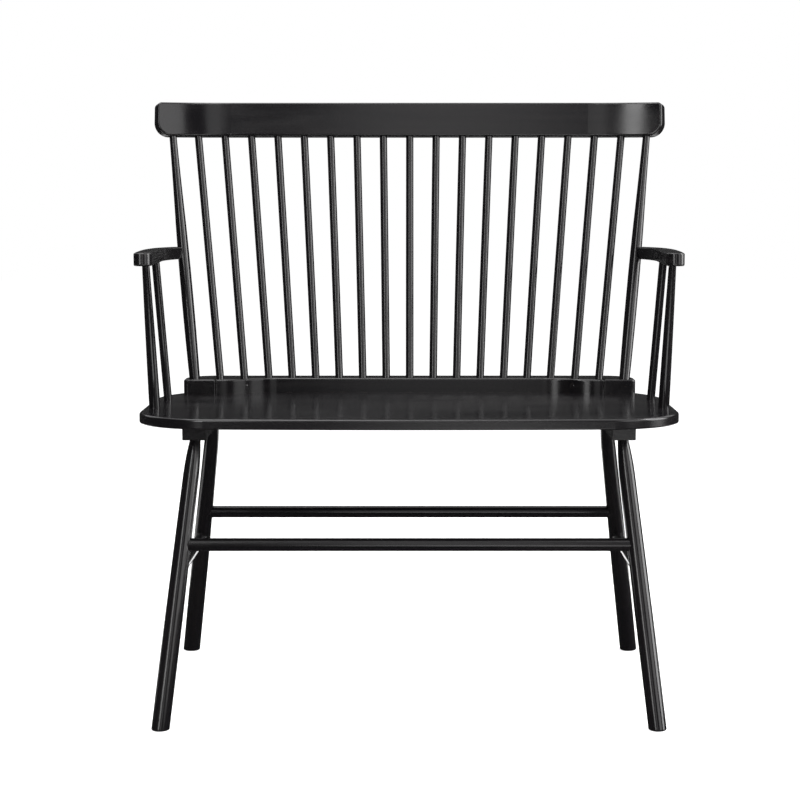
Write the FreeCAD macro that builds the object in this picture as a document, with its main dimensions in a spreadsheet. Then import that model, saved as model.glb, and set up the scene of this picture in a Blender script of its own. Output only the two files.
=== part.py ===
# A deacons bench: a plank seat on four splayed turned legs, with a fanned spindle back
# and two arms. Every piece is a solid of its own, fitted into sockets of the next one.
# The bench stands on its feet at z = 0, faces -Y, and is symmetric about x = 0.
import FreeCAD
import Part
import Sketcher
import math
import os

from FreeCAD import Vector

doc = FreeCAD.newDocument("deacons_bench")
sheet = doc.addObject("Spreadsheet::Sheet", "Sizes")

# Driving sizes in millimetres and degrees. A setback is measured to the rear from the
# foremost point of the seat, and a reach is measured sideways from the middle of the bench.
DRIVING = {
    # seat plank
    "seat_width": 800.0,
    "seat_depth": 445.0,
    "seat_thickness": 15.0,
    "seat_height": 455.0,
    "seat_front_bow": 14.0,
    "seat_front_corner": 110.0,
    "seat_rear_corner": 160.0,
    "seat_top_round": 3.5,
    "seat_bottom_round": 2.0,
    # lower back rail and its end blocks
    "rail_rear_margin": 9.0,
    "rail_depth": 47.0,
    "rail_height": 23.5,
    "rail_reach": 312.0,
    "rail_step": 27.5,
    "rail_step_width": 90.0,
    "rail_lip": 6.5,
    "rail_round": 3.0,
    "seam_round": 2.0,
    "block_width": 51.0,
    "block_rear_corner": 48.0,
    "block_front_corner": 7.0,
    # crest rail
    "crest_height": 55.6,
    "crest_thickness": 18.0,
    "crest_rise": 413.0,
    "crest_straight": 585.0,
    "crest_bend_radius": 280.0,
    "crest_bend_angle": 25.8,
    "crest_end_undercut": 5.9,
    "crest_lower_corner": 22.0,
    "crest_upper_corner": 8.0,
    "crest_round": 3.0,
    "back_lean": 12.0,
    # back spindles
    "spindle_count": 17,
    "spindle_pitch": 38.1,
    "spindle_crest_pitch": 43.35,
    "spindle_inset": 10.5,
    "spindle_foot_diameter": 12.7,
    "spindle_head_diameter": 12.2,
    "spindle_socket": 14.0,
    "spindle_crest_socket": 20.0,
    # end posts
    "post_foot_reach": 346.0,
    "post_head_reach": 387.2,
    "post_inset": 11.5,
    "post_foot_diameter": 16.9,
    "post_belly_rise": 1.15,
    "post_neck_diameter": 16.7,
    "post_neck_height": 260.0,
    "post_neck_hollow": 0.25,
    "post_head_diameter": 11.7,
    "post_socket": 14.0,
    # arms
    "arm_rise": 215.0,
    "arm_thickness": 19.5,
    "arm_nose_setback": 107.0,
    "arm_nose_inner_reach": 379.0,
    "arm_nose_width": 26.5,
    "arm_inner_reach": 387.0,
    "arm_inner_setback": 315.0,
    "arm_middle_width": 27.0,
    "arm_middle_setback": 268.0,
    "arm_bend_width": 23.0,
    "arm_bend_setback": 345.0,
    "arm_side_radius": 2600.0,
    "arm_shoulder_radius": 700.0,
    "arm_outer_bend_radius": 162.0,
    "arm_inner_bend_radius": 272.0,
    "arm_tail_angle": 33.0,
    "arm_tail_width": 17.0,
    "arm_tail_offset": 4.5,
    "arm_tail_advance": 3.0,
    "arm_nose_outer_corner": 11.5,
    "arm_nose_flat": 1.0,
    "arm_tail_corner": 2.5,
    "arm_round": 2.5,
    # posts and spindles under the arms
    "arm_post_foot_setback": 169.0,
    "arm_post_foot_reach": 384.5,
    "arm_post_head_setback": 145.0,
    "arm_post_head_reach": 392.0,
    "arm_post_foot_diameter": 17.0,
    "arm_post_head_diameter": 11.3,
    "arm_post_belly_rise": 0.25,
    "arm_spindle_foot_setback": 276.0,
    "arm_spindle_foot_reach": 377.5,
    "arm_spindle_head_setback": 252.0,
    "arm_spindle_head_reach": 391.0,
    "arm_spindle_foot_diameter": 12.7,
    "arm_spindle_head_diameter": 12.3,
    "arm_socket": 12.0,
    # cleats under the seat
    "cleat_width": 34.0,
    "cleat_height": 23.0,
    "cleat_reach": 315.0,
    "cleat_setback": 68.0,
    "cleat_length": 342.0,
    "cleat_round": 1.5,
    # legs
    "leg_head_reach": 316.0,
    "leg_head_diameter": 15.9,
    "leg_socket": 18.0,
    "leg_collar": 4.0,
    "leg_shoulder_rise": 0.7,
    "leg_shoulder_diameter": 23.4,
    "leg_shoulder_length": 55.0,
    "leg_taper_length": 260.0,
    "foot_round": 2.5,
    "front_leg_head_setback": 100.0,
    "front_foot_setback": 8.0,
    "front_foot_reach": 362.0,
    "front_leg_diameter": 26.4,
    "rear_leg_head_setback": 372.0,
    "rear_foot_setback": 523.0,
    "rear_foot_reach": 373.0,
    "rear_leg_diameter": 28.0,
    # stretchers
    "front_stretcher_height": 263.0,
    "front_stretcher_diameter": 19.1,
    "rear_stretcher_height": 253.0,
    "rear_stretcher_diameter": 19.2,
    "side_stretcher_front_height": 226.0,
    "side_stretcher_rear_height": 210.0,
    "side_stretcher_diameter": 17.4,
    "stretcher_tenon_diameter": 11.0,
    # fasteners
    "screw_diameter": 4.0,
    "screw_head_diameter": 8.0,
    "screw_head_depth": 2.6,
    "screw_tip": 5.0,
    "screw_tip_diameter": 1.0,
    "screw_length": 32.0,
    "arm_screw_length": 40.0,
    "cleat_screw_count": 4,
    "cleat_screw_pitch": 66.0,
    "rail_screw_count": 5,
    "rail_screw_pitch": 120.0,
    "rail_screw_inset": 33.0,
    "block_screw_count": 2,
    "block_screw_pitch": 20.0,
    "block_screw_reach": 345.0,
    "block_screw_inset": 41.0,
    "dowel_diameter": 6.0,
    "dowel_length": 24.0,
    "dowel_inset": 46.0,
    "dowel_pitch": 24.0,
    "pin_diameter": 2.4,
    "pin_length": 15.0,
    "pin_height": 11.0,
    # running clearance all round a tenon, dowel or screw, and at its end
    "joint_gap": 0.1,
    "end_gap": 0.6,
}


class Size:
    """A number that also knows the spreadsheet formula it comes from."""

    def __init__(self, value, formula):
        self.value = value
        self.formula = formula

    @staticmethod
    def of(other):
        return other if isinstance(other, Size) else Size(float(other), repr(float(other)))

    def join(self, other, value, sign):
        return Size(value, "(%s %s %s)" % (self.formula, sign, other.formula))

    def __add__(self, other):
        other = Size.of(other)
        return self.join(other, self.value + other.value, "+")

    def __sub__(self, other):
        other = Size.of(other)
        return self.join(other, self.value - other.value, "-")

    def __mul__(self, other):
        other = Size.of(other)
        return self.join(other, self.value * other.value, "*")

    def __truediv__(self, other):
        other = Size.of(other)
        return self.join(other, self.value / other.value, "/")

    def __neg__(self):
        return Size(-self.value, "(0 - %s)" % self.formula)

    def __float__(self):
        return float(self.value)


def cell(alias, content):
    """Write one aliased cell of the sheet."""
    cell.row += 1
    address = "A%d" % cell.row
    sheet.set(address, content)
    sheet.setAlias(address, alias)


cell.row = 0
size = {}
for alias, value in DRIVING.items():
    cell(alias, str(value))
    size[alias] = Size(float(value), "Sizes." + alias)


def derive(alias, result):
    """Keep a worked-out size in the sheet too, under a name of its own."""
    cell(alias, "=" + result.formula.replace("Sizes.", ""))
    size[alias] = Size(result.value, "Sizes." + alias)
    return size[alias]


def cosine(angle):
    return Size(math.cos(math.radians(angle.value)), "cos(%s)" % angle.formula)


def sine(angle):
    return Size(math.sin(math.radians(angle.value)), "sin(%s)" % angle.formula)


# The origin lies midway between the foremost and the rearmost point of the feet.
seat_front = derive(
    "seat_front",
    (size["front_foot_setback"] + size["rear_foot_setback"]) / 2
    + (size["rear_leg_diameter"] - size["front_leg_diameter"]) / 4,
)
seat_underside = derive("seat_underside", size["seat_height"] - size["seat_thickness"])
arm_underside = derive("arm_underside", size["seat_height"] + size["arm_rise"])
crest_underside = derive("crest_underside", size["seat_height"] + size["crest_rise"])
cleat_underside = derive("cleat_underside", seat_underside - size["cleat_height"])
rail_top = derive("rail_top", size["seat_height"] + size["rail_height"])
rail_rear = derive("rail_rear", size["seat_depth"] - size["rail_rear_margin"])
rail_setback = derive("rail_setback", rail_rear - size["rail_depth"])
block_setback = derive("block_setback", rail_setback - size["rail_step"])
block_reach = derive("block_reach", size["rail_reach"] + size["block_width"])
doc.recompute()

GAP = size["joint_gap"]
SIDES = {"left": -1, "right": 1}
ROWS = ("front", "rear")
pieces = []


def mm(alias):
    """The plain value of a size, for places that are worked out in space."""
    return size[alias].value


def depth(setback):
    """The y coordinate of a point that lies a setback behind the seat's front."""
    return float(setback) - seat_front.value


def bind(item, name, amount):
    """Tie a property of an object to the sheet."""
    item.setExpression(name, Size.of(amount).formula)


def aim(start, end):
    """The placement that carries the origin to start and +Z towards end."""
    return FreeCAD.Placement(start, FreeCAD.Rotation(Vector(0, 0, 1), end - start))


def at_height(start, end, height):
    """The point at a given height on the straight line through two points."""
    return start + (end - start) * ((height - start.z) / (end.z - start.z))


def keep(item, label, solids=1):
    """Register a finished piece under the name of its file."""
    item.Label = label
    pieces.append((item, solids))
    return item


def arc_radius(span, rise):
    """The radius of an arc over a straight span that stands out by a rise."""
    return (span * span / 4 + rise * rise) / (rise * 2)


def origin_plane(body, role):
    return [plane for plane in body.Origin.OriginFeatures if plane.Role == role][0]


def sketch_on(body, role, corners, arcs, offset=None):
    """Draw a closed outline on an origin plane, with every corner tied to the sheet.

    A corner is a pair of sizes, and 0 lies on the sketch's own axis. arcs maps the number
    of a side to its radius, positive where the arc bulges to the right of the way round.
    """
    sketch = body.newObject("Sketcher::SketchObject", body.Name + "_outline")
    sketch.AttachmentSupport = [(origin_plane(body, role), "")]
    sketch.MapMode = "FlatFace"
    if offset:
        sketch.AttachmentOffset = FreeCAD.Placement(offset, FreeCAD.Rotation())
    points = [Vector(float(x), float(y), 0) for x, y in corners]
    ends = []
    for side, start in enumerate(points):
        end = points[(side + 1) % len(points)]
        radius = float(arcs.get(side, 0))
        ends.append((2, 1) if radius < 0 else (1, 2))
        if not radius:
            sketch.addGeometry(Part.LineSegment(start, end))
            continue
        chord = end - start
        right = Vector(chord.y, -chord.x, 0).normalize()
        rise = abs(radius) - math.sqrt(radius ** 2 - chord.Length ** 2 / 4)
        middle = (start + end) / 2 + right * math.copysign(rise, radius)
        sketch.addGeometry(Part.Arc(start, middle, end))
    for side, (first, last) in enumerate(ends):
        following = (side + 1) % len(points)
        sketch.addConstraint(
            Sketcher.Constraint("Coincident", side, last, following, ends[following][0])
        )
    for side, corner in enumerate(corners):
        for kind, axis, amount in zip(("DistanceX", "DistanceY"), (-2, -1), corner):
            if not float(amount):
                sketch.addConstraint(
                    Sketcher.Constraint("PointOnObject", side, ends[side][0], axis)
                )
                continue
            number = sketch.addConstraint(
                Sketcher.Constraint(kind, -1, 1, side, ends[side][0], float(amount))
            )
            bind(sketch, "Constraints[%d]" % number, amount)
    for side, radius in arcs.items():
        amount = radius if float(radius) > 0 else -Size.of(radius)
        number = sketch.addConstraint(Sketcher.Constraint("Radius", side, float(amount)))
        bind(sketch, "Constraints[%d]" % number, amount)
    sketch.Visibility = False
    doc.recompute()
    return sketch


def plank(name, corners, arcs, height, floor, sign=1):
    """A flat board: its outline from above, in reaches and setbacks, and its height."""
    if sign < 0:
        corners = [(-x, y) for x, y in corners]
        arcs = {side: -radius for side, radius in arcs.items()}
    body = doc.addObject("PartDesign::Body", name)
    sketch = sketch_on(body, "XY_Plane", corners, arcs)
    pad = body.newObject("PartDesign::Pad", name + "_pad")
    pad.Profile = sketch
    bind(pad, "Length", height)
    bind(body, "Placement.Base.y", -seat_front)
    bind(body, "Placement.Base.z", floor)
    doc.recompute()
    return body


def rounded(body, name, radius, chosen):
    """Round the edges of a body's last shape for which chosen(edge, shape) is true."""
    base = body.Tip
    shape = base.Shape
    found = [
        "Edge%d" % (number + 1)
        for number, edge in enumerate(shape.Edges)
        if chosen(edge, shape)
    ]
    fillet = body.newObject("PartDesign::Fillet", body.Name + "_" + name)
    fillet.Base = (base, found)
    bind(fillet, "Radius", radius)
    doc.recompute()


TOUCH = 0.01


def upright_at(*corners):
    """Chooses the vertical edges that stand at corners of the outline."""
    places = [(abs(float(x)), float(y)) for x, y in corners]

    def chosen(edge, shape):
        box = edge.BoundBox
        if max(box.XLength, box.YLength) > TOUCH:
            return False
        x = abs(box.Center.x)
        return any(math.dist((x, box.Center.y), place) < TOUCH for place in places)

    return chosen


def middle_near(reach, *places):
    """Chooses the edges whose middle lies within a reach of given points."""

    def chosen(edge, shape):
        return any((edge.CenterOfMass - place).Length < reach for place in places)

    return chosen


def level_at(*heights):
    """Chooses the edges that lie flat at a height above the body's own floor."""

    def chosen(edge, shape):
        box = edge.BoundBox
        return any(abs(box.ZMin - z) < TOUCH and abs(box.ZMax - z) < TOUCH for z in heights)

    return chosen


SHARP = math.radians(20)


def sharp(edge, shape):
    """Chooses the edges where two faces meet at an angle."""
    faces = shape.ancestorsOfType(edge, Part.Face)
    if len(faces) != 2:
        return False
    middle = edge.valueAt((edge.FirstParameter + edge.LastParameter) / 2)
    first, second = [face.normalAt(*face.Surface.parameter(middle)) for face in faces]
    return first.getAngle(second) > SHARP


def rod(name, diameter, start, end):
    """A round bar from one point to another."""
    bar = doc.addObject("Part::Cylinder", name)
    bind(bar, "Radius", Size.of(diameter) / 2)
    bar.Height = (end - start).Length
    bar.Placement = aim(start, end)
    return bar


def turned(name, stations, start, end):
    """A turned piece. A station is a diameter and its height up the piece's own axis."""
    body = doc.addObject("PartDesign::Body", name)
    corners = [(0, stations[0][1])]
    corners += [(Size.of(diameter) / 2, height) for diameter, height in stations]
    corners.append((0, stations[-1][1]))
    sketch = sketch_on(body, "XZ_Plane", corners, {})
    spin = body.newObject("PartDesign::Revolution", name + "_turning")
    spin.Profile = sketch
    spin.ReferenceAxis = (sketch, ["V_Axis"])
    spin.Angle = 360
    body.Placement = aim(start, end)
    doc.recompute()
    return body


SWELL_STEPS = 10


def swell(first, last, start, length, rise):
    """Stations of a side that goes from one diameter to another and swells by a rise."""
    stations = []
    for number in range(SWELL_STEPS + 1):
        share = number / SWELL_STEPS
        straight = first * (1 - share) + last * share
        bulge = 4 * share * (1 - share)
        stations.append((straight + rise * 2 * bulge, length * share + start))
    return stations


def socket(name, diameter, mouth, far_end, depth_in):
    """The hole for one end of a round piece that comes from its far end."""
    inward = (mouth - far_end).normalize()
    outside = mouth - inward * float(diameter)
    return rod(name, diameter + GAP * 2, outside, mouth + inward * float(depth_in))


def cut(name, base, tools):
    """A piece with its sockets and holes."""
    result = doc.addObject("Part::Cut", name)
    result.Base = base
    if len(tools) > 1:
        union = doc.addObject("Part::MultiFuse", name + "_holes")
        union.Shapes = tools
        result.Tool = union
    else:
        result.Tool = tools[0]
    doc.recompute()
    return result


# The lines of the uprights, from the lower rail or the seat to the crest rail or the arm.
def rail_front(reach):
    """The setback of the lower rail's front face at a reach from the middle."""
    outer = mm("rail_reach") - mm("rail_lip")
    inner = outer - mm("rail_step_width")
    half = (outer - inner) / 2
    step = mm("rail_step")
    radius = (half ** 2 + step ** 2 / 4) / step
    reach = min(max(abs(reach), inner), outer)
    if reach < inner + half:
        return rail_setback.value - radius + math.sqrt(radius ** 2 - (reach - inner) ** 2)
    return block_setback.value + radius - math.sqrt(radius ** 2 - (outer - reach) ** 2)


LEAN = math.radians(mm("back_lean"))
crest_setback = (
    rail_setback.value
    + mm("spindle_inset")
    + (crest_underside.value - rail_top.value) * math.tan(LEAN)
)


def crest_turn(reach):
    """The angle by which the crest rail has turned forward at a reach."""
    past = max(abs(reach) - mm("crest_straight") / 2, 0)
    return math.copysign(math.asin(past / mm("crest_bend_radius")), reach)


def crest_point(reach, height, forward=0.0):
    """A point of the crest rail, by its height up the rail and its distance forward."""
    angle = crest_turn(reach)
    setback = crest_setback - mm("crest_bend_radius") * (1 - math.cos(angle))
    lean = height * math.sin(LEAN) - forward * math.cos(LEAN)
    rise = height * math.cos(LEAN) + forward * math.sin(LEAN)
    return Vector(
        reach + lean * math.sin(angle),
        depth(setback + lean * math.cos(angle)),
        crest_underside.value + rise,
    )


def back_upright(foot_reach, head_reach, inset):
    """Foot and head of a spindle or post of the back."""
    foot = Vector(foot_reach, depth(rail_front(foot_reach) + mm(inset)), rail_top.value)
    return foot, crest_point(head_reach, 0)


def arm_upright(kind, sign):
    """Foot and head of a post or spindle under an arm."""
    return [
        Vector(sign * mm(kind + end + "_reach"), depth(mm(kind + end + "_setback")), height)
        for end, height in (("_foot", mm("seat_height")), ("_head", arm_underside.value))
    ]


# Back spindles, turned with a slight taper. Their ends fill sockets in both rails.
def straight_stations(kind, line, foot_socket, head_socket):
    length = (line[1] - line[0]).Length
    end_gap = size["end_gap"]
    return [
        (size[kind + "_foot_diameter"], end_gap - foot_socket),
        (size[kind + "_foot_diameter"], 0),
        (size[kind + "_head_diameter"], head_socket - end_gap + length),
    ]


spindle_lines = []
for number in range(int(mm("spindle_count"))):
    step = number - (mm("spindle_count") - 1) / 2
    line = back_upright(
        step * mm("spindle_pitch"), step * mm("spindle_crest_pitch"), "spindle_inset"
    )
    spindle_lines.append(line)
    stations = straight_stations(
        "spindle", line, size["spindle_socket"], size["spindle_crest_socket"]
    )
    label = "back_spindle_%02d" % (number + 1)
    keep(turned("turned_" + label, stations, *line), label)


# End posts, thicker than the spindles: a long belly from the foot up to a neck at the
# height of the arm, then a hollow taper to the crest rail.
post_lines = {
    side: back_upright(
        sign * mm("post_foot_reach"), sign * mm("post_head_reach"), "post_inset"
    )
    for side, sign in SIDES.items()
}
post_length = (post_lines["left"][1] - post_lines["left"][0]).Length
post_taper = Size.of(post_length) - size["post_neck_height"]
post_blanks = {}
for side, line in post_lines.items():
    foot = size["post_foot_diameter"]
    neck = size["post_neck_diameter"]
    head = size["post_head_diameter"]
    neck_height = size["post_neck_height"]
    stations = [(foot, size["end_gap"] - size["post_socket"])]
    stations += swell(foot, neck, 0, neck_height, size["post_belly_rise"])
    stations += swell(neck, head, neck_height, post_taper, -size["post_neck_hollow"])[1:]
    stations.append((head, size["spindle_crest_socket"] - size["end_gap"] + post_length))
    post_blanks[side] = turned("turned_end_post_" + side, stations, *line)


def post_radius(height):
    """The radius of an end post at a height up its own axis, within its belly."""
    share = height / mm("post_neck_height")
    straight = mm("post_foot_diameter") * (1 - share) + mm("post_neck_diameter") * share
    return straight / 2 + mm("post_belly_rise") * 4 * share * (1 - share)


# Posts and spindles under the arms.
arm_post_lines = {side: arm_upright("arm_post", sign) for side, sign in SIDES.items()}
arm_spindle_lines = {side: arm_upright("arm_spindle", sign) for side, sign in SIDES.items()}
for side, line in arm_post_lines.items():
    length = (line[1] - line[0]).Length
    foot = size["arm_post_foot_diameter"]
    head = size["arm_post_head_diameter"]
    stations = [(foot, size["end_gap"] - size["arm_socket"])]
    stations += swell(foot, head, 0, Size.of(length), size["arm_post_belly_rise"])
    stations.append((head, size["arm_socket"] - size["end_gap"] + length))
    label = "arm_front_post_" + side
    keep(turned("turned_" + label, stations, *line), label)
for side, line in arm_spindle_lines.items():
    stations = straight_stations("arm_spindle", line, size["arm_socket"], size["arm_socket"])
    label = "arm_spindle_" + side
    keep(turned("turned_" + label, stations, *line), label)

# Legs, turned with a slender head that enters the cleat and a long taper to the foot.
leg_lines = {}
leg_blanks = {}
for row in ROWS:
    for side, sign in SIDES.items():
        head = Vector(
            sign * mm("leg_head_reach"),
            depth(mm(row + "_leg_head_setback")),
            cleat_underside.value,
        )
        foot = Vector(sign * mm(row + "_foot_reach"), depth(mm(row + "_foot_setback")), 0)
        leg_lines[row, side] = head, foot
        full = size[row + "_leg_diameter"]
        slender = size["leg_head_diameter"]
        shoulder = size["leg_shoulder_length"] - size["leg_collar"]
        stations = [(slender, size["end_gap"] - size["leg_socket"])]
        stations += swell(
            slender,
            size["leg_shoulder_diameter"],
            size["leg_collar"],
            shoulder,
            size["leg_shoulder_rise"],
        )
        stations += [(full, size["leg_taper_length"]), (full, full + (foot - head).Length)]
        name = "turned_%s_leg_%s" % (row, side)
        leg_blanks[row, side] = turned(name, stations, head, foot)


# Seat: one plank with a bowed front edge and large corner rounds.
half_seat = size["seat_width"] / 2
seat_corners = [
    (-half_seat, size["seat_front_bow"]),
    (half_seat, size["seat_front_bow"]),
    (half_seat, size["seat_depth"]),
    (-half_seat, size["seat_depth"]),
]
seat_blank = plank(
    "seat_blank",
    seat_corners,
    {0: arc_radius(size["seat_width"], size["seat_front_bow"])},
    size["seat_thickness"],
    seat_underside,
)
rounded(seat_blank, "front_corners", size["seat_front_corner"], upright_at(seat_corners[1]))
rounded(seat_blank, "rear_corners", size["seat_rear_corner"], upright_at(seat_corners[2]))
rounded(seat_blank, "top", size["seat_top_round"], level_at(mm("seat_thickness")))
rounded(seat_blank, "underside", size["seat_bottom_round"], level_at(0))

# Lower back rail: straight behind, with a front that steps forward in a curve at each end.
step_outer = size["rail_reach"] - size["rail_lip"]
step_inner = step_outer - size["rail_step_width"]
step_middle = (step_outer + step_inner) / 2
step_half = rail_setback - size["rail_step"] / 2
step_radius = (
    size["rail_step_width"] * size["rail_step_width"] + size["rail_step"] * size["rail_step"]
) / (size["rail_step"] * 4)
rail_right = [
    (step_inner, rail_setback),
    (step_middle, step_half),
    (step_outer, block_setback),
    (size["rail_reach"], block_setback),
    (size["rail_reach"], rail_rear),
]
rail_corners = [(-x, y) for x, y in reversed(rail_right)] + rail_right
rail_blank = plank(
    "rail_blank",
    rail_corners,
    {2: step_radius, 3: -step_radius, 5: -step_radius, 6: step_radius},
    size["rail_height"],
    size["seat_height"],
)
rounded(rail_blank, "seams", size["seam_round"], upright_at(*rail_right[3:]))
rounded(rail_blank, "top", size["rail_round"], level_at(mm("rail_height")))

# End blocks, doweled to the ends of the lower rail to carry the end posts.
block_corners = [
    (size["rail_reach"], block_setback),
    (block_reach, block_setback),
    (block_reach, rail_rear),
    (size["rail_reach"], rail_rear),
]
block_blanks = {}
for side, sign in SIDES.items():
    block = plank(
        "block_blank_" + side,
        block_corners,
        {},
        size["rail_height"],
        size["seat_height"],
        sign,
    )
    rounded(block, "rear", size["block_rear_corner"], upright_at(block_corners[2]))
    rounded(block, "front", size["block_front_corner"], upright_at(block_corners[1]))
    rounded(block, "seam", size["seam_round"], upright_at(block_corners[0], block_corners[3]))
    rounded(block, "top", size["rail_round"], level_at(mm("rail_height")))
    block_blanks[side] = block

# Crest rail: one leaning board whose ends curve forward, each about an upright axis.
lean = size["back_lean"]
half_thick = size["crest_thickness"] / 2
tall = size["crest_height"]
bend = size["crest_bend_radius"]
front_shift = -(half_thick * cosine(lean))
front_lift = half_thick * sine(lean)
crest_section = [
    (bend + front_shift, front_lift),
    (bend - front_shift, -front_lift),
    (bend - front_shift + tall * sine(lean), tall * cosine(lean) - front_lift),
    (bend + front_shift + tall * sine(lean), tall * cosine(lean) + front_lift),
]
crest_blank = doc.addObject("PartDesign::Body", "crest_blank")
bend_axis = depth(crest_setback) - mm("crest_bend_radius")


def crest_sketch(reach):
    return sketch_on(
        crest_blank, "YZ_Plane", crest_section, {}, Vector(bend_axis, 0, reach)
    )


bind(crest_blank, "Placement.Base.z", crest_underside)
crest_bar = crest_blank.newObject("PartDesign::Pad", "crest_bar")
crest_bar.Profile = crest_sketch(-mm("crest_straight") / 2)
bind(crest_bar, "Length", size["crest_straight"])
doc.recompute()
for side, sign in SIDES.items():
    sketch = crest_sketch(sign * mm("crest_straight") / 2)
    wing = crest_blank.newObject("PartDesign::Revolution", "crest_bend_" + side)
    wing.Profile = sketch
    wing.ReferenceAxis = (sketch, ["V_Axis"])
    wing.Reversed = sign > 0
    bind(wing, "Angle", size["crest_bend_angle"])
    doc.recompute()
crest_end = mm("crest_straight") / 2 + mm("crest_bend_radius") * math.sin(
    math.radians(mm("crest_bend_angle"))
)
bent = crest_blank.Tip
undercut = crest_blank.newObject("PartDesign::Draft", "crest_undercut")
undercut.Base = (
    bent,
    [
        "Face%d" % (number + 1)
        for number, face in enumerate(bent.Shape.Faces)
        if face.Surface.TypeId == "Part::GeomPlane" and abs(face.CenterOfMass.x) > crest_end
    ],
)
doc.recompute()
undercut.NeutralPlane = (origin_plane(crest_blank, "XY_Plane"), [""])
bind(undercut, "Angle", size["crest_end_undercut"])
doc.recompute()
for name, height in (("lower", 0), ("upper", mm("crest_height"))):
    places = [
        crest_point(end, height) - Vector(0, 0, crest_underside.value)
        for end in (-crest_end, crest_end)
    ]
    chosen = middle_near(mm("crest_thickness") / 2, *places)
    rounded(crest_blank, name + "_corners", size["crest_%s_corner" % name], chosen)
rounded(crest_blank, "edges", size["crest_round"], sharp)

# Arms: level, with a blunt nose in front, coped to the end post behind.
arm_middle = arm_underside.value + mm("arm_thickness") / 2
arm_blanks = {}
arm_joints = {}
for side, sign in SIDES.items():
    post = at_height(*post_lines[side], arm_middle)
    slant = math.radians(mm("arm_tail_angle"))
    tail = Vector(-math.sin(slant), math.cos(slant), 0)
    outward = Vector(math.cos(slant), math.sin(slant), 0)
    joint = Vector(abs(post.x), post.y + seat_front.value, 0) - tail * mm("arm_tail_advance")
    tail_outer = joint + outward * (mm("arm_tail_offset") + mm("arm_tail_width") / 2)
    tail_inner = joint + outward * (mm("arm_tail_offset") - mm("arm_tail_width") / 2)
    nose_inner = size["arm_nose_inner_reach"]
    nose_outer = nose_inner + size["arm_nose_width"]
    inner = size["arm_inner_reach"]
    arm_corners = [
        (nose_inner, size["arm_nose_setback"]),
        (nose_outer, size["arm_nose_setback"]),
        (inner + size["arm_middle_width"], size["arm_middle_setback"]),
        (inner + size["arm_bend_width"], size["arm_bend_setback"]),
        (Size.of(tail_outer.x), Size.of(tail_outer.y)),
        (Size.of(tail_inner.x), Size.of(tail_inner.y)),
        (inner, size["arm_inner_setback"]),
    ]
    arm = plank(
        "arm_blank_" + side,
        arm_corners,
        {
            1: size["arm_side_radius"],
            2: size["arm_shoulder_radius"],
            3: size["arm_outer_bend_radius"],
            5: -size["arm_inner_bend_radius"],
        },
        size["arm_thickness"],
        arm_underside,
        sign,
    )
    rounded(arm, "outer_nose", size["arm_nose_outer_corner"], upright_at(arm_corners[1]))
    inner_corner = (
        size["arm_nose_width"] - size["arm_nose_outer_corner"] - size["arm_nose_flat"]
    )
    rounded(arm, "inner_nose", inner_corner, upright_at(arm_corners[0]))
    rounded(arm, "tail", size["arm_tail_corner"], upright_at(arm_corners[4]))
    rounded(arm, "edges", size["arm_round"], level_at(0, mm("arm_thickness")))
    arm_blanks[side] = arm
    arm_joints[side] = post, Vector(-sign * tail.x, -tail.y, 0)

# Cleats: square battens across the underside of the seat.
cleat_inner = size["cleat_reach"] - size["cleat_width"] / 2
cleat_outer = size["cleat_reach"] + size["cleat_width"] / 2
cleat_end = size["cleat_setback"] + size["cleat_length"]
cleat_blanks = {}
for side, sign in SIDES.items():
    cleat = plank(
        "cleat_blank_" + side,
        [
            (cleat_inner, size["cleat_setback"]),
            (cleat_outer, size["cleat_setback"]),
            (cleat_outer, cleat_end),
            (cleat_inner, cleat_end),
        ],
        {},
        size["cleat_height"],
        cleat_underside,
        sign,
    )
    rounded(cleat, "edges", size["cleat_round"], level_at(0))
    cleat_blanks[side] = cleat


# Stretchers: each is coped to the two legs, with a round tenon through to their middle.
leg_sockets = {place: [] for place in leg_blanks}


def stretcher(label, first, first_height, last, last_height):
    start = at_height(*leg_lines[first], first_height)
    end = at_height(*leg_lines[last], last_height)
    kind = label.replace("_left", "").replace("_right", "")
    bar = rod(label + "_bar", size[kind + "_diameter"], start, end)
    legs = doc.addObject("Part::MultiFuse", label + "_legs")
    legs.Shapes = [leg_blanks[first], leg_blanks[last]]
    coped = doc.addObject("Part::Cut", label + "_coped")
    coped.Base = bar
    coped.Tool = legs
    way = (end - start).normalize() * mm("end_gap")
    tenon = size["stretcher_tenon_diameter"]
    core = rod(label + "_tenons", tenon, start + way, end - way)
    whole = doc.addObject("Part::MultiFuse", label + "_whole")
    whole.Shapes = [coped, core]
    doc.recompute()
    keep(whole, label)
    for place, mouth, far_end in ((first, start, end), (last, end, start)):
        hole = rod(
            "%s_socket_in_%s_%s" % ((label,) + place),
            tenon + GAP * 2,
            mouth,
            mouth + (far_end - mouth).normalize() * mm(place[0] + "_leg_diameter"),
        )
        leg_sockets[place].append(hole)


for row in ROWS:
    height = mm(row + "_stretcher_height")
    stretcher(row + "_stretcher", (row, "left"), height, (row, "right"), height)
for side in SIDES:
    stretcher(
        "side_stretcher_" + side,
        ("front", side),
        mm("side_stretcher_front_height"),
        ("rear", side),
        mm("side_stretcher_rear_height"),
    )


# Fasteners. Each set of like screws, dowels or pins is one group of separate solids.
def screw_stations(length, spare=0.0, lead=0.0):
    """A countersunk wood screw, or its hole where spare is the room that it leaves."""
    head = size["screw_head_diameter"] + spare
    shank = size["screw_diameter"] + spare
    stations = [
        (head, 0),
        (shank, size["screw_head_depth"]),
        (shank, length - size["screw_tip"]),
        (size["screw_tip_diameter"] + spare, length + Size.of(spare) * 2),
    ]
    return [(head, -Size.of(lead))] + stations if lead else stations


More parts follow.
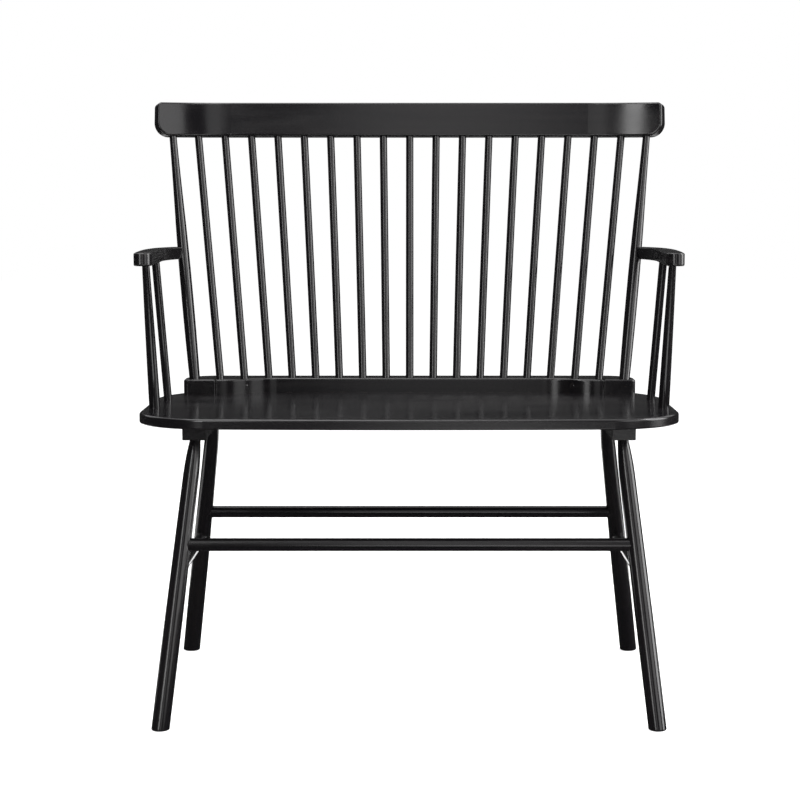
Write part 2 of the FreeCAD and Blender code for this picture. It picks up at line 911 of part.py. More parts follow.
def screws(label, places, length):
    """A set of screws, each from a start point along a way, and the holes for them."""
    made = []
    holes = []
    for number, (start, way) in enumerate(places):
        name = "%s_%d" % (label, number + 1)
        made.append(turned(name, screw_stations(length), start, start + way))
        wide = screw_stations(length, GAP * 2, size["screw_head_depth"])
        holes.append(turned(name + "_hole", wide, start, start + way))
    group_of(label, made)
    return holes


def group_of(label, made):
    group = doc.addObject("Part::Compound", label + "_set")
    group.Links = made
    doc.recompute()
    keep(group, label, len(made))


def centred(count, pitch):
    """Places spread about zero at a pitch."""
    return [(number - (count - 1) / 2) * pitch for number in range(int(count))]


UP = Vector(0, 0, 1)
cleat_middle = mm("cleat_setback") + mm("cleat_length") / 2
cleat_places = [
    (Vector(sign * mm("cleat_reach"), depth(cleat_middle + along), cleat_underside.value), UP)
    for sign in SIDES.values()
    for along in centred(mm("cleat_screw_count"), mm("cleat_screw_pitch"))
]
cleat_holes = screws("cleat_screws", cleat_places, size["screw_length"])
per_cleat = int(mm("cleat_screw_count"))
holes_in_cleat = {"left": cleat_holes[:per_cleat], "right": cleat_holes[per_cleat:]}

rail_line = depth(rail_setback.value + mm("rail_screw_inset"))
rail_places = [
    (Vector(across, rail_line, seat_underside.value), UP)
    for across in centred(mm("rail_screw_count"), mm("rail_screw_pitch"))
]
block_line = block_setback.value + mm("block_screw_inset")
block_places = [
    (Vector(sign * mm("block_screw_reach"), depth(block_line + along), seat_underside.value), UP)
    for sign in SIDES.values()
    for along in centred(mm("block_screw_count"), mm("block_screw_pitch"))
]
rail_holes = screws("rail_screws", rail_places + block_places, size["screw_length"])
per_rail = int(mm("rail_screw_count"))
per_block = int(mm("block_screw_count"))
holes_in_block = {
    "left": rail_holes[per_rail : per_rail + per_block],
    "right": rail_holes[per_rail + per_block :],
}

arm_places = []
for side, (post, way) in arm_joints.items():
    foot = post_lines[side][0]
    radius = post_radius((post - foot).Length)
    sunk = math.sqrt(radius ** 2 - mm("screw_head_diameter") ** 2 / 4)
    arm_places.append((post - way * sunk, way))
arm_holes = dict(zip(arm_joints, screws("arm_screws", arm_places, size["arm_screw_length"])))

dowels = []
holes_in_rail = rail_holes[:per_rail]
for side, sign in SIDES.items():
    for along in centred(2, mm("dowel_pitch")):
        setback = block_setback.value + mm("dowel_inset") + along
        seam = Vector(
            sign * mm("rail_reach"),
            depth(setback),
            mm("seat_height") + mm("rail_height") / 2,
        )
        half = Vector(mm("dowel_length") / 2, 0, 0)
        room = Vector(mm("end_gap"), 0, 0)
        name = "dowel_%s_%d" % (side, len(dowels) + 1)
        dowels.append(rod(name, size["dowel_diameter"], seam - half, seam + half))
        hole = rod(
            name + "_hole",
            size["dowel_diameter"] + GAP * 2,
            seam - half - room,
            seam + half + room,
        )
        holes_in_rail.append(hole)
        holes_in_block[side].append(hole)
group_of("rail_dowels", dowels)

pins = []
pin_holes = {}
for side, sign in SIDES.items():
    reach = sign * mm("post_head_reach")
    rear = crest_point(reach, mm("pin_height"), -mm("crest_thickness") / 2)
    front = crest_point(reach, mm("pin_height"), mm("pin_length") - mm("crest_thickness") / 2)
    beyond = (front - rear).normalize() * mm("end_gap")
    name = "crest_pin_" + side
    pins.append(rod(name, size["pin_diameter"], rear, front))
    pin_holes[side] = rod(
        name + "_hole", size["pin_diameter"] + GAP * 2, rear - beyond, front + beyond
    )
group_of("crest_pins", pins)

# Sockets for the uprights, and the finished pieces.
crest_holes = list(pin_holes.values())
for number, (foot, head) in enumerate(spindle_lines):
    holes_in_rail.append(
        socket(
            "rail_socket_%d" % (number + 1),
            size["spindle_foot_diameter"],
            foot,
            head,
            size["spindle_socket"],
        )
    )
    crest_holes.append(
        socket(
            "crest_socket_%d" % (number + 1),
            size["spindle_head_diameter"],
            head,
            foot,
            size["spindle_crest_socket"],
        )
    )
holes_in_arm = {side: [arm_holes[side], post_blanks[side]] for side in SIDES}
holes_in_seat = cleat_holes + rail_holes
for side in SIDES:
    foot, head = post_lines[side]
    holes_in_block[side].append(
        socket(
            "post_socket_" + side,
            size["post_foot_diameter"],
            foot,
            head,
            size["post_socket"],
        )
    )
    crest_holes.append(
        socket(
            "post_crest_socket_" + side,
            size["post_head_diameter"],
            head,
            foot,
            size["spindle_crest_socket"],
        )
    )
    for kind, lines in (("arm_post", arm_post_lines), ("arm_spindle", arm_spindle_lines)):
        foot, head = lines[side]
        holes_in_seat.append(
            socket(
                "%s_seat_socket_%s" % (kind, side),
                size[kind + "_foot_diameter"],
                foot,
                head,
                size["arm_socket"],
            )
        )
        holes_in_arm[side].append(
            socket(
                "%s_arm_socket_%s" % (kind, side),
                size[kind + "_head_diameter"],
                head,
                foot,
                size["arm_socket"],
            )
        )

keep(cut("seat_cut", seat_blank, holes_in_seat), "seat")
keep(cut("rail_cut", rail_blank, holes_in_rail), "lower_back_rail")
keep(cut("crest_cut", crest_blank, crest_holes), "crest_rail")
for side in SIDES:
    keep(cut("block_cut_" + side, block_blanks[side], holes_in_block[side]), "back_end_block_" + side)
    post_cuts = [arm_holes[side], pin_holes[side]]
    keep(cut("post_cut_" + side, post_blanks[side], post_cuts), "end_post_" + side)
    keep(cut("arm_cut_" + side, arm_blanks[side], holes_in_arm[side]), "arm_" + side)
    for row in ROWS:
        head, foot = leg_lines[row, side]
        holes_in_cleat[side].append(
            socket(
                "%s_leg_socket_%s" % (row, side),
                size["leg_head_diameter"],
                head,
                foot,
                size["leg_socket"],
            )
        )
    keep(cut("cleat_cut_" + side, cleat_blanks[side], holes_in_cleat[side]), "cleat_" + side)

# Each leg is sawn level with the floor, and the edge of its foot is eased.
for (row, side), blank in leg_blanks.items():
    foot = leg_lines[row, side][1]
    wide = mm(row + "_leg_diameter") * 4
    floor = doc.addObject("Part::Box", "floor_under_%s_%s" % (row, side))
    floor.Length = wide
    floor.Width = wide
    floor.Height = wide
    floor.Placement.Base = foot - Vector(wide / 2, wide / 2, wide)
    sawn = cut("%s_leg_sawn_%s" % (row, side), blank, [floor] + leg_sockets[row, side])
    eased = doc.addObject("Part::Fillet", "%s_leg_eased_%s" % (row, side))
    eased.Base = sawn
    eased.Edges = [
        (number + 1, mm("foot_round"), mm("foot_round"))
        for number, edge in enumerate(sawn.Shape.Edges)
        if level_at(0)(edge, sawn.Shape)
    ]
    doc.recompute()
    keep(eased, "%s_leg_%s" % (row, side))

doc.recompute()
for item in doc.Objects:
    if {"Invalid", "Error"} & set(item.State):
        raise RuntimeError(item.Label + " did not build")
for item, solids in pieces:
    shape = item.Shape
    if shape.isNull() or not shape.isValid() or len(shape.Solids) != solids:
        raise RuntimeError("%s has a bad shape: %d solids" % (item.Label, len(shape.Solids)))
os.makedirs("parts", exist_ok=True)
for item, solids in pieces:
    item.Shape.exportStep("parts/%s.step" % item.Label)
print(len(pieces), "pieces written")
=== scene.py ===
"""A deacons bench: a long seat on four splayed legs, with a spindle back and two small arms."""

import math

import bpy
import numpy as np
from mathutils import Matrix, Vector

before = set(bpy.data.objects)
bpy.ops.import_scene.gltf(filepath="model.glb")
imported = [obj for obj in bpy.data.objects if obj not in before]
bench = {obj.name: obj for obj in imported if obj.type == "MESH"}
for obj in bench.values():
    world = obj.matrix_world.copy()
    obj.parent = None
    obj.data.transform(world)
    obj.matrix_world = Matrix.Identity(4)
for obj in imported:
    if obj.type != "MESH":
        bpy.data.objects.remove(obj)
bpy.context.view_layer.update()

# The seat.
# One wide plank, glued up from hardwood boards that run the length of the bench, its arrises
# eased by hand. It is sprayed black with satin lacquer, thin enough for the grain to show through.
BLACK = (0.0052, 0.0047, 0.0056)
WARM_BLACK = (0.0098, 0.0086, 0.0092)
RUBBED = (0.040, 0.034, 0.031)
SATIN = 0.18
LACQUER_GLOSS = 0.5
WAVE_DEPTH = 0.00006
PEEL_DEPTH = 0.000002
UPWARDS = np.array((0.0, 0.0, 1.0))
REARWARDS = np.array((0.0, 1.0, 0.0))
STEEP = 0.5
TIMBER_APART = 0.37


def lay_grain(piece, number, bend=None):
    """Gives every point its place in the timber: across, through and along the grain."""
    points = np.array([point.co for point in piece.data.vertices])
    middle = points.mean(0)
    along = np.linalg.svd(points - middle, full_matrices=False)[2][0]
    along = along * np.sign(along[np.argmax(abs(along))])
    across = np.cross(along, REARWARDS if abs(along[2]) > STEEP else UPWARDS)
    across = across / np.linalg.norm(across)
    through = np.cross(along, across)
    place = (points - middle) @ np.stack([across, through, along]).T
    if bend is not None:
        place = bend(points)
    place = place + number * TIMBER_APART
    timber = piece.data.attributes.new("timber_place", "FLOAT_VECTOR", "POINT")
    timber.data.foreach_set("vector", place.astype(np.float32).ravel())


def new_group(name, inputs, outputs):
    """An empty shader group with the named inputs, each with its value, and outputs."""
    group = bpy.data.node_groups.new(name, "ShaderNodeTree")
    for label, value in inputs.items():
        kind = "NodeSocketVector" if value is None else "NodeSocketFloat"
        socket = group.interface.new_socket(label, in_out="INPUT", socket_type=kind)
        if value is not None:
            socket.default_value = value
    for label, kind in outputs.items():
        group.interface.new_socket(label, in_out="OUTPUT", socket_type=kind)
    return group


def fit_in(tree, node, label, value):
    """Joins a socket to one input of a node, or sets the input's value."""
    spot = next(spot for spot in node.inputs if spot.name == label and spot.enabled)
    if isinstance(value, bpy.types.NodeSocket):
        tree.links.new(value, spot)
    else:
        spot.default_value = value


def add(tree, kind, **values):
    """A node in the tree. A value that is a socket is joined to the input, any other is set."""
    node = tree.nodes.new(kind)
    for label, value in values.items():
        if hasattr(node, label):
            setattr(node, label, value)
            continue
        fit_in(tree, node, label.replace("_", " "), value)
    return node


def maths(tree, operation, first, second):
    """The result of one sum on two values or sockets."""
    node = tree.nodes.new("ShaderNodeMath")
    node.operation = operation
    for spot, value in zip(node.inputs, (first, second)):
        if isinstance(value, bpy.types.NodeSocket):
            tree.links.new(value, spot)
        else:
            spot.default_value = value
    return node.outputs[0]


def between(tree, value, low, high, floor=0.0, top=1.0):
    """The value brought from the range low to high into the range floor to top."""
    node = add(tree, "ShaderNodeMapRange", Value=value)
    for label, number in (("From Min", low), ("From Max", high), ("To Min", floor), ("To Max", top)):
        node.inputs[label].default_value = number
    return node.outputs["Result"]


def stretched(tree, place, across, along):
    """The place in the timber counted in patches of those sizes, in metres."""
    sizes = tree.nodes.new("ShaderNodeCombineXYZ")
    for spot, size in zip(sizes.inputs, (across, across, along)):
        tree.links.new(maths(tree, "DIVIDE", 1.0, size), spot)
    node = tree.nodes.new("ShaderNodeVectorMath")
    node.operation = "MULTIPLY"
    tree.links.new(place, node.inputs[0])
    tree.links.new(sizes.outputs[0], node.inputs[1])
    return node.outputs[0]


def mottled(tree, place, detail, roughness=0.55):
    """Soft random patches of size one, from 0 to 1."""
    node = add(tree, "ShaderNodeTexNoise", Vector=place, Scale=1.0, Detail=detail, Roughness=roughness)
    return node.outputs["Fac"]


# The grain of the wood under the lacquer: fine pores drawn out along the piece, wider bands
# where the growth rings lie, and the slow change of tone from one part of a board to another.
PORE_RANGE = (0.36, 0.62)
BAND_RANGE = (0.34, 0.66)
TONE_RANGE = (0.36, 0.64)
BANDS_TO_A_TONE = 6.0
TONE_LENGTH = 0.35
grain = new_group(
    "grain_under_lacquer",
    {"Place": None, "Pore Width": 0.0008, "Pore Length": 0.06, "Band Width": 0.009, "Band Length": 0.5},
    {"Pores": "NodeSocketFloat", "Bands": "NodeSocketFloat", "Tone": "NodeSocketFloat"},
)
given = grain.nodes.new("NodeGroupInput").outputs
result = grain.nodes.new("NodeGroupOutput").inputs
pores = stretched(grain, given["Place"], given["Pore Width"], given["Pore Length"])
pores = between(grain, mottled(grain, pores, detail=3.0), *PORE_RANGE)
bands = stretched(grain, given["Place"], given["Band Width"], given["Band Length"])
bands = between(grain, mottled(grain, bands, detail=2.0), *BAND_RANGE)
tone_width = maths(grain, "MULTIPLY", given["Band Width"], BANDS_TO_A_TONE)
tone = stretched(grain, given["Place"], tone_width, TONE_LENGTH)
tone = between(grain, mottled(grain, tone, detail=2.0), *TONE_RANGE)
grain.links.new(pores, result["Pores"])
grain.links.new(bands, result["Bands"])
grain.links.new(tone, result["Tone"])

# The lacquer as it dries from the gun: a fine orange peel, slow waves and scattered specks of
# dust that dried into it.
SPECK_SIZE = 0.0035
SPECK_RANGE = (0.74, 0.80)
spray = new_group(
    "sprayed_lacquer",
    {"Place": None, "Peel Size": 0.0022, "Wave Size": 0.03},
    {"Peel": "NodeSocketFloat", "Waves": "NodeSocketFloat", "Specks": "NodeSocketFloat"},
)
given = spray.nodes.new("NodeGroupInput").outputs
result = spray.nodes.new("NodeGroupOutput").inputs
peel = stretched(spray, given["Place"], given["Peel Size"], given["Peel Size"])
spray.links.new(mottled(spray, peel, detail=1.0), result["Peel"])
waves = stretched(spray, given["Place"], given["Wave Size"], given["Wave Size"])
spray.links.new(mottled(spray, waves, detail=1.0), result["Waves"])
specks = stretched(spray, given["Place"], SPECK_SIZE, SPECK_SIZE)
specks = between(spray, mottled(spray, specks, detail=0.0), *SPECK_RANGE)
spray.links.new(specks, result["Specks"])

# Edges that hands and cloths have rubbed: found where the surface turns within a short reach,
# and broken up so that the rub comes and goes along the arris.
EDGE_RANGE = (0.995, 0.90)
PATCH_RANGE = (0.45, 0.65)
rub = new_group(
    "rubbed_edges",
    {"Place": None, "Reach": 0.0022, "Patch Size": 0.012},
    {"Edge": "NodeSocketFloat", "Rub": "NodeSocketFloat"},
)
given = rub.nodes.new("NodeGroupInput").outputs
result = rub.nodes.new("NodeGroupOutput").inputs
softened = add(rub, "ShaderNodeBevel", samples=4, Radius=given["Reach"])
surface = rub.nodes.new("ShaderNodeNewGeometry")
turn = rub.nodes.new("ShaderNodeVectorMath")
turn.operation = "DOT_PRODUCT"
rub.links.new(softened.outputs[0], turn.inputs[0])
rub.links.new(surface.outputs["Normal"], turn.inputs[1])
edge = between(rub, turn.outputs["Value"], *EDGE_RANGE)
patches = stretched(rub, given["Place"], given["Patch Size"], given["Patch Size"])
patches = between(rub, mottled(rub, patches, detail=3.0), *PATCH_RANGE)
rub.links.new(edge, result["Edge"])
rub.links.new(maths(rub, "MULTIPLY", edge, patches), result["Rub"])


def effect(tree, group, place, **values):
    """One of the shared effects, placed in a material with its own values."""
    node = tree.nodes.new("ShaderNodeGroup")
    node.node_tree = group
    tree.links.new(place, node.inputs["Place"])
    for label, value in values.items():
        node.inputs[label.replace("_", " ")].default_value = value
    return node.outputs


def mixed(tree, share, first, second):
    """Two colours mixed, each a colour or a socket."""
    node = tree.nodes.new("ShaderNodeMix")
    node.data_type = "RGBA"
    tree.links.new(share, node.inputs["Factor"])
    for spot, colour in zip(node.inputs[6:8], (first, second)):
        if isinstance(colour, bpy.types.NodeSocket):
            tree.links.new(colour, spot)
        else:
            spot.default_value = (*colour, 1.0)
    return node.outputs[2]


def raised(tree, height, by, normal=None):
    """The surface normal with a height in metres laid over it."""
    node = add(tree, "ShaderNodeBump", Height=height, Strength=1.0, Distance=by)
    if normal is not None:
        tree.links.new(normal, node.inputs["Normal"])
    return node.outputs["Normal"]


WORN_BY_RUBBING = 0.5
SHOWS_SPECKS = 0.10
GLOSSIER = 0.03
DULLER = 0.04
DULLED_BY_PORES = 0.03
POLISHED_AT_EDGES = 0.06


def black_lacquer(name, satin=SATIN, pore_depth=0.000004, band_depth=0.000008, **timber):
    """Black satin lacquer over wood. The timber's values are those of the grain group."""
    lacquer = bpy.data.materials.new(name)
    lacquer.use_nodes = True
    tree = lacquer.node_tree
    shader = tree.nodes["Principled BSDF"]
    place = add(tree, "ShaderNodeAttribute", attribute_name="timber_place").outputs["Vector"]
    wood = effect(tree, grain, place, **timber)
    coat = effect(tree, spray, place)
    edges = effect(tree, rub, place)
    colour = mixed(tree, maths(tree, "MULTIPLY", wood["Bands"], wood["Tone"]), BLACK, WARM_BLACK)
    colour = mixed(tree, maths(tree, "MULTIPLY", edges["Rub"], WORN_BY_RUBBING), colour, RUBBED)
    colour = mixed(tree, maths(tree, "MULTIPLY", coat["Specks"], SHOWS_SPECKS), colour, RUBBED)
    tree.links.new(colour, shader.inputs["Base Color"])
    sheen = between(tree, wood["Tone"], 0.0, 1.0, satin - GLOSSIER, satin + DULLER)
    dulled = maths(tree, "MULTIPLY", wood["Pores"], DULLED_BY_PORES)
    polished = maths(tree, "MULTIPLY", edges["Edge"], POLISHED_AT_EDGES)
    sheen = maths(tree, "SUBTRACT", maths(tree, "ADD", sheen, dulled), polished)
    tree.links.new(sheen, shader.inputs["Roughness"])
    shader.inputs["Specular IOR Level"].default_value = LACQUER_GLOSS
    normal = raised(tree, coat["Waves"], WAVE_DEPTH)
    normal = raised(tree, wood["Bands"], band_depth, normal)
    normal = raised(tree, wood["Pores"], pore_depth, normal)
    normal = raised(tree, coat["Peel"], PEEL_DEPTH, normal)
    tree.links.new(normal, shader.inputs["Normal"])
    return lacquer


def finish_piece(name, number, material, bend=None):
    """Lays the grain along a piece of the bench and gives the piece its material."""
    piece = bench[name]
    lay_grain(piece, number, bend)
    for place in piece.material_slots:
        place.link = "OBJECT"
        place.material = material


seat_lacquer = black_lacquer("black_lacquer_on_the_seat", Band_Width=0.016, Band_Length=0.9)
finish_piece("seat", 1, seat_lacquer)

# The cleats.
# Two hardwood bars screwed across the underside of the seat, to hold it flat and to take the
# heads of the legs. Their screws are plain steel, sunk into the underside.
SIDES = ("left", "right")
STEEL = (0.42, 0.41, 0.39)
DULL_STEEL = (0.20, 0.19, 0.18)
STEEL_SHEEN = (0.26, 0.44)
TURNING_DEPTH = 0.00001
plank_lacquer = black_lacquer("black_lacquer_on_planks", Band_Width=0.008, Band_Length=0.4)
for number, side in enumerate(SIDES):
    finish_piece("cleat_" + side, 2 + number, plank_lacquer)

screw_steel = bpy.data.materials.new("screw_steel")
screw_steel.use_nodes = True
tree = screw_steel.node_tree
shader = tree.nodes["Principled BSDF"]
place = add(tree, "ShaderNodeAttribute", attribute_name="timber_place").outputs["Vector"]
turnings = effect(
    tree, grain, place, Pore_Width=0.0002, Pore_Length=0.004, Band_Width=0.002, Band_Length=0.004,
)
colour = mixed(tree, turnings["Bands"], STEEL, DULL_STEEL)
tree.links.new(colour, shader.inputs["Base Color"])
tree.links.new(between(tree, turnings["Tone"], 0.0, 1.0, *STEEL_SHEEN), shader.inputs["Roughness"])
tree.links.new(raised(tree, turnings["Pores"], TURNING_DEPTH), shader.inputs["Normal"])
shader.inputs["Metallic"].default_value = 1.0
finish_piece("cleat_screws", 4, screw_steel)

# The legs.
# Four turned legs, splayed, with a swelling below the head and a taper to the foot. Each is
# driven into its cleat, and the lathe and the sanding leave fine lines along and round it.
leg_lacquer = black_lacquer(
    "black_lacquer_on_legs", satin=0.14, pore_depth=0.000008, Pore_Width=0.0011, Pore_Length=0.12,
    Band_Width=0.0045, Band_Length=0.5,
)
for number, side in enumerate(SIDES):
    finish_piece("front_leg_" + side, 5 + number, leg_lacquer)
    finish_piece("rear_leg_" + side, 7 + number, leg_lacquer)

# The stretchers.
# Turned rods that tie the legs: one across the front, one across the back and one on each side,
# glued into holes in the legs.
stretcher_lacquer = black_lacquer(
    "black_lacquer_on_stretchers", satin=0.14, pore_depth=0.000006, Pore_Width=0.0010,
    Pore_Length=0.10, Band_Width=0.004, Band_Length=0.5,
)
finish_piece("front_stretcher", 9, stretcher_lacquer)
finish_piece("rear_stretcher", 10, stretcher_lacquer)
for number, side in enumerate(SIDES):
    finish_piece("side_stretcher_" + side, 11 + number, stretcher_lacquer)

# The lower back rail.
# A moulded bar on the seat that holds the feet of the spindles, with a curved block butted to
# each end of it. Hidden dowels join the blocks, and screws from below hold the rail down.
BARE_WOOD = (0.47, 0.33, 0.20)
DARK_RINGS = (0.33, 0.21, 0.115)
SHOWS_RINGS = 0.7
BARE_SHEEN = (0.55, 0.75)
SAWN_DEPTH = 0.00006
rail_lacquer = black_lacquer(
    "black_lacquer_on_rails", satin=0.14, Band_Width=0.006, Band_Length=0.45, Pore_Length=0.05,
)
finish_piece("lower_back_rail", 13, rail_lacquer)
for number, side in enumerate(SIDES):
    finish_piece("back_end_block_" + side, 14 + number, rail_lacquer)
finish_piece("rail_screws", 16, screw_steel)

bare_wood = bpy.data.materials.new("bare_hardwood")
bare_wood.use_nodes = True
tree = bare_wood.node_tree
shader = tree.nodes["Principled BSDF"]
place = add(tree, "ShaderNodeAttribute", attribute_name="timber_place").outputs["Vector"]
wood = effect(
    tree, grain, place, Pore_Width=0.0004, Pore_Length=0.01, Band_Width=0.0016, Band_Length=0.05,
)
colour = mixed(tree, maths(tree, "MULTIPLY", wood["Bands"], SHOWS_RINGS), BARE_WOOD, DARK_RINGS)
tree.links.new(colour, shader.inputs["Base Color"])
tree.links.new(between(tree, wood["Pores"], 0.0, 1.0, *BARE_SHEEN), shader.inputs["Roughness"])
tree.links.new(raised(tree, wood["Pores"], SAWN_DEPTH), shader.inputs["Normal"])
finish_piece("rail_dowels", 17, bare_wood)

# The back spindles.
# Seventeen slender turned rods, leaning back, fanned out towards the ends, their feet in the
# rail and their heads in the crest. A stouter post with a slight belly stands at each end.
SPINDLES = 17
spindle_lacquer = black_lacquer(
    "black_lacquer_on_spindles", satin=0.13, pore_depth=0.000004, Pore_Width=0.0008,
    Pore_Length=0.09, Band_Width=0.003, Band_Length=0.4,
)
for spindle in range(SPINDLES):
    finish_piece(f"back_spindle_{spindle + 1:02d}", 18 + spindle, spindle_lacquer)
for number, side in enumerate(SIDES):
    finish_piece("end_post_" + side, 36 + number, spindle_lacquer)

# The crest rail.
# A steam-bent board over the heads of the spindles, straight in the middle and turned forwards
# at both ends, so its grain follows the bend. Small steel pins hold it on the end posts.
BEND_START = 0.2925
BEND_RADIUS = 0.28


def round_the_bend(points):
    """Each point's place in the board as it was before it was bent."""
    rear = points[:, 1].max()
    side = np.sign(points[:, 0])
    past = np.maximum(abs(points[:, 0]) - BEND_START, 0.0)
    depth = BEND_RADIUS - (rear - points[:, 1])
    angle = np.arctan2(past, np.maximum(depth, BEND_START / 2))
    along = side * (np.minimum(abs(points[:, 0]), BEND_START) + BEND_RADIUS * angle)
    through = np.hypot(past, depth)
    return np.stack([points[:, 2], through, along], axis=1)


crest_lacquer = black_lacquer(
    "black_lacquer_on_the_crest", satin=0.14, Band_Width=0.010, Band_Length=0.5,
)
finish_piece("crest_rail", 38, crest_lacquer, round_the_bend)
finish_piece("crest_pins", 39, screw_steel)

# The arms.
# Two short arms sawn from plank, waisted in the middle, each notched round its end post and
# screwed to it. A turned post and a turned spindle carry the front of each arm.
for number, side in enumerate(SIDES):
    finish_piece("arm_" + side, 40 + number, rail_lacquer)
    finish_piece("arm_front_post_" + side, 42 + number, spindle_lacquer)
    finish_piece("arm_spindle_" + side, 44 + number, spindle_lacquer)
finish_piece("arm_screws", 46, screw_steel)

# The floor.
# A plain white floor, part of the studio and not of the bench. It keeps the bench's shadow,
# and its own light takes it to white where no shadow falls.
FLOOR_HALF = 14.0
FLOOR_COLOUR = (0.80, 0.80, 0.80, 1.0)
FLOOR_GLOW = 0.74
FLOOR_DULLNESS = 0.9
WHITE = (1.0, 1.0, 1.0, 1.0)
NO_COLOUR = (0.0, 0.0, 0.0, 1.0)


def seen_directly(tree):
    """One where a surface is seen by the camera, in a reflection or through glass."""
    path = tree.nodes.new("ShaderNodeLightPath")
    seen = maths(tree, "ADD", path.outputs["Is Camera Ray"], path.outputs["Is Glossy Ray"])
    seen = maths(tree, "ADD", seen, path.outputs["Is Transmission Ray"])
    return maths(tree, "MINIMUM", seen, 1.0)


corners = [(-FLOOR_HALF, -FLOOR_HALF, 0), (FLOOR_HALF, -FLOOR_HALF, 0)]
corners += [(FLOOR_HALF, FLOOR_HALF, 0), (-FLOOR_HALF, FLOOR_HALF, 0)]
sheet = bpy.data.meshes.new("studio_floor")
sheet.from_pydata(corners, [], [(0, 1, 2, 3)])
floor = bpy.data.objects.new("studio_floor", sheet)
bpy.context.scene.collection.objects.link(floor)
floor_paint = bpy.data.materials.new("studio_floor")
floor_paint.use_nodes = True
tree = floor_paint.node_tree
shader = tree.nodes["Principled BSDF"]
shader.inputs["Base Color"].default_value = FLOOR_COLOUR
shader.inputs["Roughness"].default_value = FLOOR_DULLNESS
shader.inputs["Specular IOR Level"].default_value = 0.0
shader.inputs["Emission Color"].default_value = WHITE
glow = maths(tree, "MULTIPLY", seen_directly(tree), FLOOR_GLOW)
tree.links.new(glow, shader.inputs["Emission Strength"])
sheet.materials.append(floor_paint)

# The studio.
# White surroundings with soft boxes at both sides and above. Dark cloths stand and lie round the
# bench, with one pale card on the floor: only the reflections in the lacquer see them.
FILL = 0.35
world = bpy.data.worlds.new("white_studio")
bpy.context.scene.world = world
world.use_nodes = True
tree = world.node_tree
backdrop = tree.nodes["Background"]
backdrop.inputs["Color"].default_value = WHITE
tree.links.new(between(tree, seen_directly(tree), 0.0, 1.0, FILL, 1.0), backdrop.inputs["Strength"])
BENCH_MIDDLE = Vector((0.0, 0.0, 0.55))
LAMP_WATTS = 4.0


def around(azimuth, elevation, distance):
    """A place round the bench: azimuth 0 is in front and 90 at the right."""
    turn = math.radians(azimuth)
    rise = math.radians(elevation)
    level = Vector((math.sin(turn), -math.cos(turn), 0.0)) * math.cos(rise)
    return BENCH_MIDDLE + (level + Vector((0.0, 0.0, math.sin(rise)))) * distance


def soft_box(name, azimuth, elevation, distance, width, height, brightness):
    """A soft box aimed at the bench. Its brightness counts white as one."""
    lamp = bpy.data.lights.new(name, "AREA")
    lamp.shape = "RECTANGLE"
    lamp.size = width
    lamp.size_y = height
    lamp.energy = brightness * width * height * LAMP_WATTS
    box = bpy.data.objects.new(name, lamp)
    bpy.context.scene.collection.objects.link(box)
    box.location = around(azimuth, elevation, distance)
    box.rotation_euler = (box.location - BENCH_MIDDLE).to_track_quat("Z", "Y").to_euler()
    box.visible_camera = False


soft_box("soft_box_left", -22, 20, 4.2, 0.9, 3.8, 4.2)
soft_box("soft_box_right_front", 40, 20, 4.2, 2.2, 3.8, 1.6)
soft_box("soft_box_right", 84, 18, 4.2, 2.6, 3.6, 5.0)
soft_box("soft_box_high_front", 6, 72, 4.0, 0.8, 0.7, 6.0)
soft_box("soft_box_high_right", 90, 46, 4.0, 0.8, 0.7, 18.0)
soft_box("soft_box_above", -80, 74, 3.4, 1.6, 1.6, 4.0)


def screen(name, places, faces, brightness):
    """A cloth or card that only reflections see. Its brightness counts white as one."""
    shape = bpy.data.meshes.new(name)
    shape.from_pydata(places, [], faces)
    cloth = bpy.data.objects.new(name, shape)
    bpy.context.scene.collection.objects.link(cloth)
    for kind in ("camera", "diffuse", "shadow", "transmission"):
        setattr(cloth, "visible_" + kind, False)
    dye = bpy.data.materials.new(name)
    dye.use_nodes = True
    base = dye.node_tree.nodes["Principled BSDF"]
    base.inputs["Base Color"].default_value = NO_COLOUR
    base.inputs["Specular IOR Level"].default_value = 0.0
    base.inputs["Emission Color"].default_value = WHITE
    base.inputs["Emission Strength"].default_value = brightness
    shape.materials.append(dye)


TENT_RADIUS = 4.6
TENT_HEIGHT = 6.0
BACK_HEIGHT = 2.2
TENT_STEP = 3
TENT_CLOTH = 0.035
MAT_HEIGHT = 0.0015
CARD = 3.0
MIDDLE_HOLE = 0.001
NEAR = 1.0
BEHIND = 1.6
FAR = 2.6


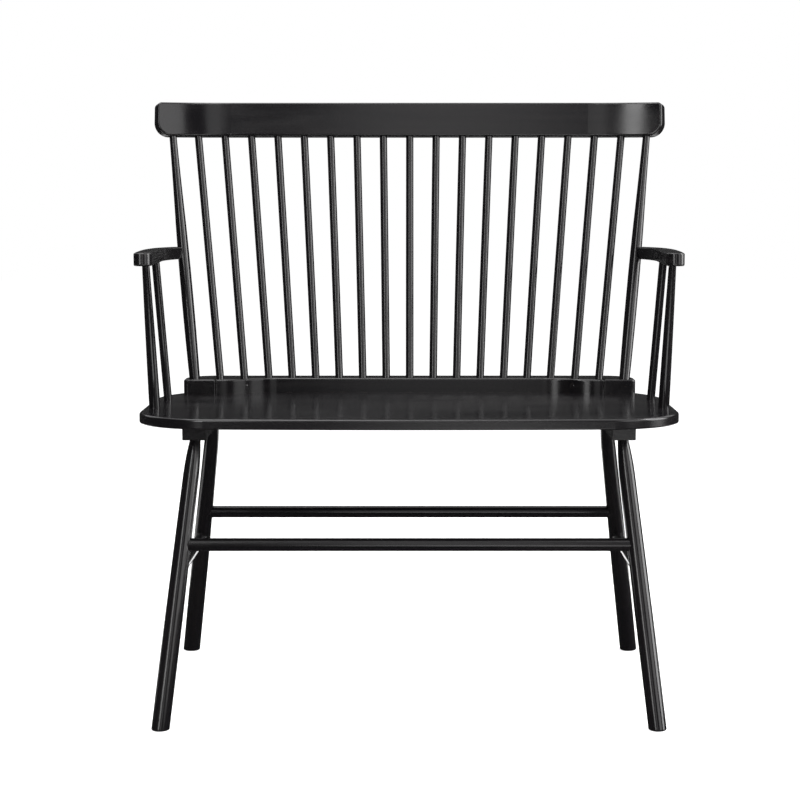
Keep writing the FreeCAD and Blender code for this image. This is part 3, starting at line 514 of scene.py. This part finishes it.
def tent_wall(name, start, end, height):
    """A stretch of the tent's round wall, from one azimuth to another."""
    foot = [around(turn, 0, TENT_RADIUS) for turn in range(start, end + 1, TENT_STEP)]
    walls = [(place.x, place.y, level) for level in (0.0, height) for place in foot]
    faces = [(i, i + 1, i + 1 + len(foot), i + len(foot)) for i in range(len(foot) - 1)]
    screen(name, walls, faces, TENT_CLOTH)


def floor_cloth(name, start, end, inner, outer, brightness=TENT_CLOTH):
    """A piece of cloth or card on the floor, cut as part of a ring round the bench."""
    turns = range(start, end + 1)
    edge = [around(turn, 0, outer) for turn in turns]
    edge += [around(turn, 0, inner) for turn in reversed(turns)]
    outline = [(place.x, place.y, MAT_HEIGHT) for place in edge]
    screen(name, outline, [tuple(range(len(outline)))], brightness)


tent_wall("tent_right", 8, 113, TENT_HEIGHT)
tent_wall("tent_back", 113, 248, BACK_HEIGHT)
tent_wall("tent_left", 248, 356, TENT_HEIGHT)
floor_cloth("cloth_near", 0, 360, MIDDLE_HOLE, NEAR)
floor_cloth("cloth_right", 22, 90, NEAR, FAR)
floor_cloth("cloth_left", -90, -8, NEAR, FAR)
floor_cloth("cloth_front", -90, 90, FAR, TENT_RADIUS)
floor_cloth("cloth_back", 90, 270, BEHIND, TENT_RADIUS)
floor_cloth("white_card", 1, 22, NEAR, FAR, CARD)

# The camera.
# It stands in front, a little above the arms, and looks slightly down. The long lens is the
# photograph's, and the shift sets its middle a little to the right of the picture's.
CAMERA_PLACE = (0.009, -3.1306, 0.786)
LOOKS_DOWN = 6.022
LENS = 90.855
SHIFT = -0.019
SENSOR = 36.0
view_from = bpy.data.cameras.new("camera")
view_from.sensor_width = SENSOR
view_from.lens = LENS
view_from.shift_x = SHIFT
camera = bpy.data.objects.new("camera", view_from)
bpy.context.scene.collection.objects.link(camera)
camera.location = CAMERA_PLACE
camera.rotation_euler = (math.radians(90 - LOOKS_DOWN), 0.0, 0.0)
bpy.context.scene.camera = camera
bpy.context.scene.view_settings.view_transform = "Standard"
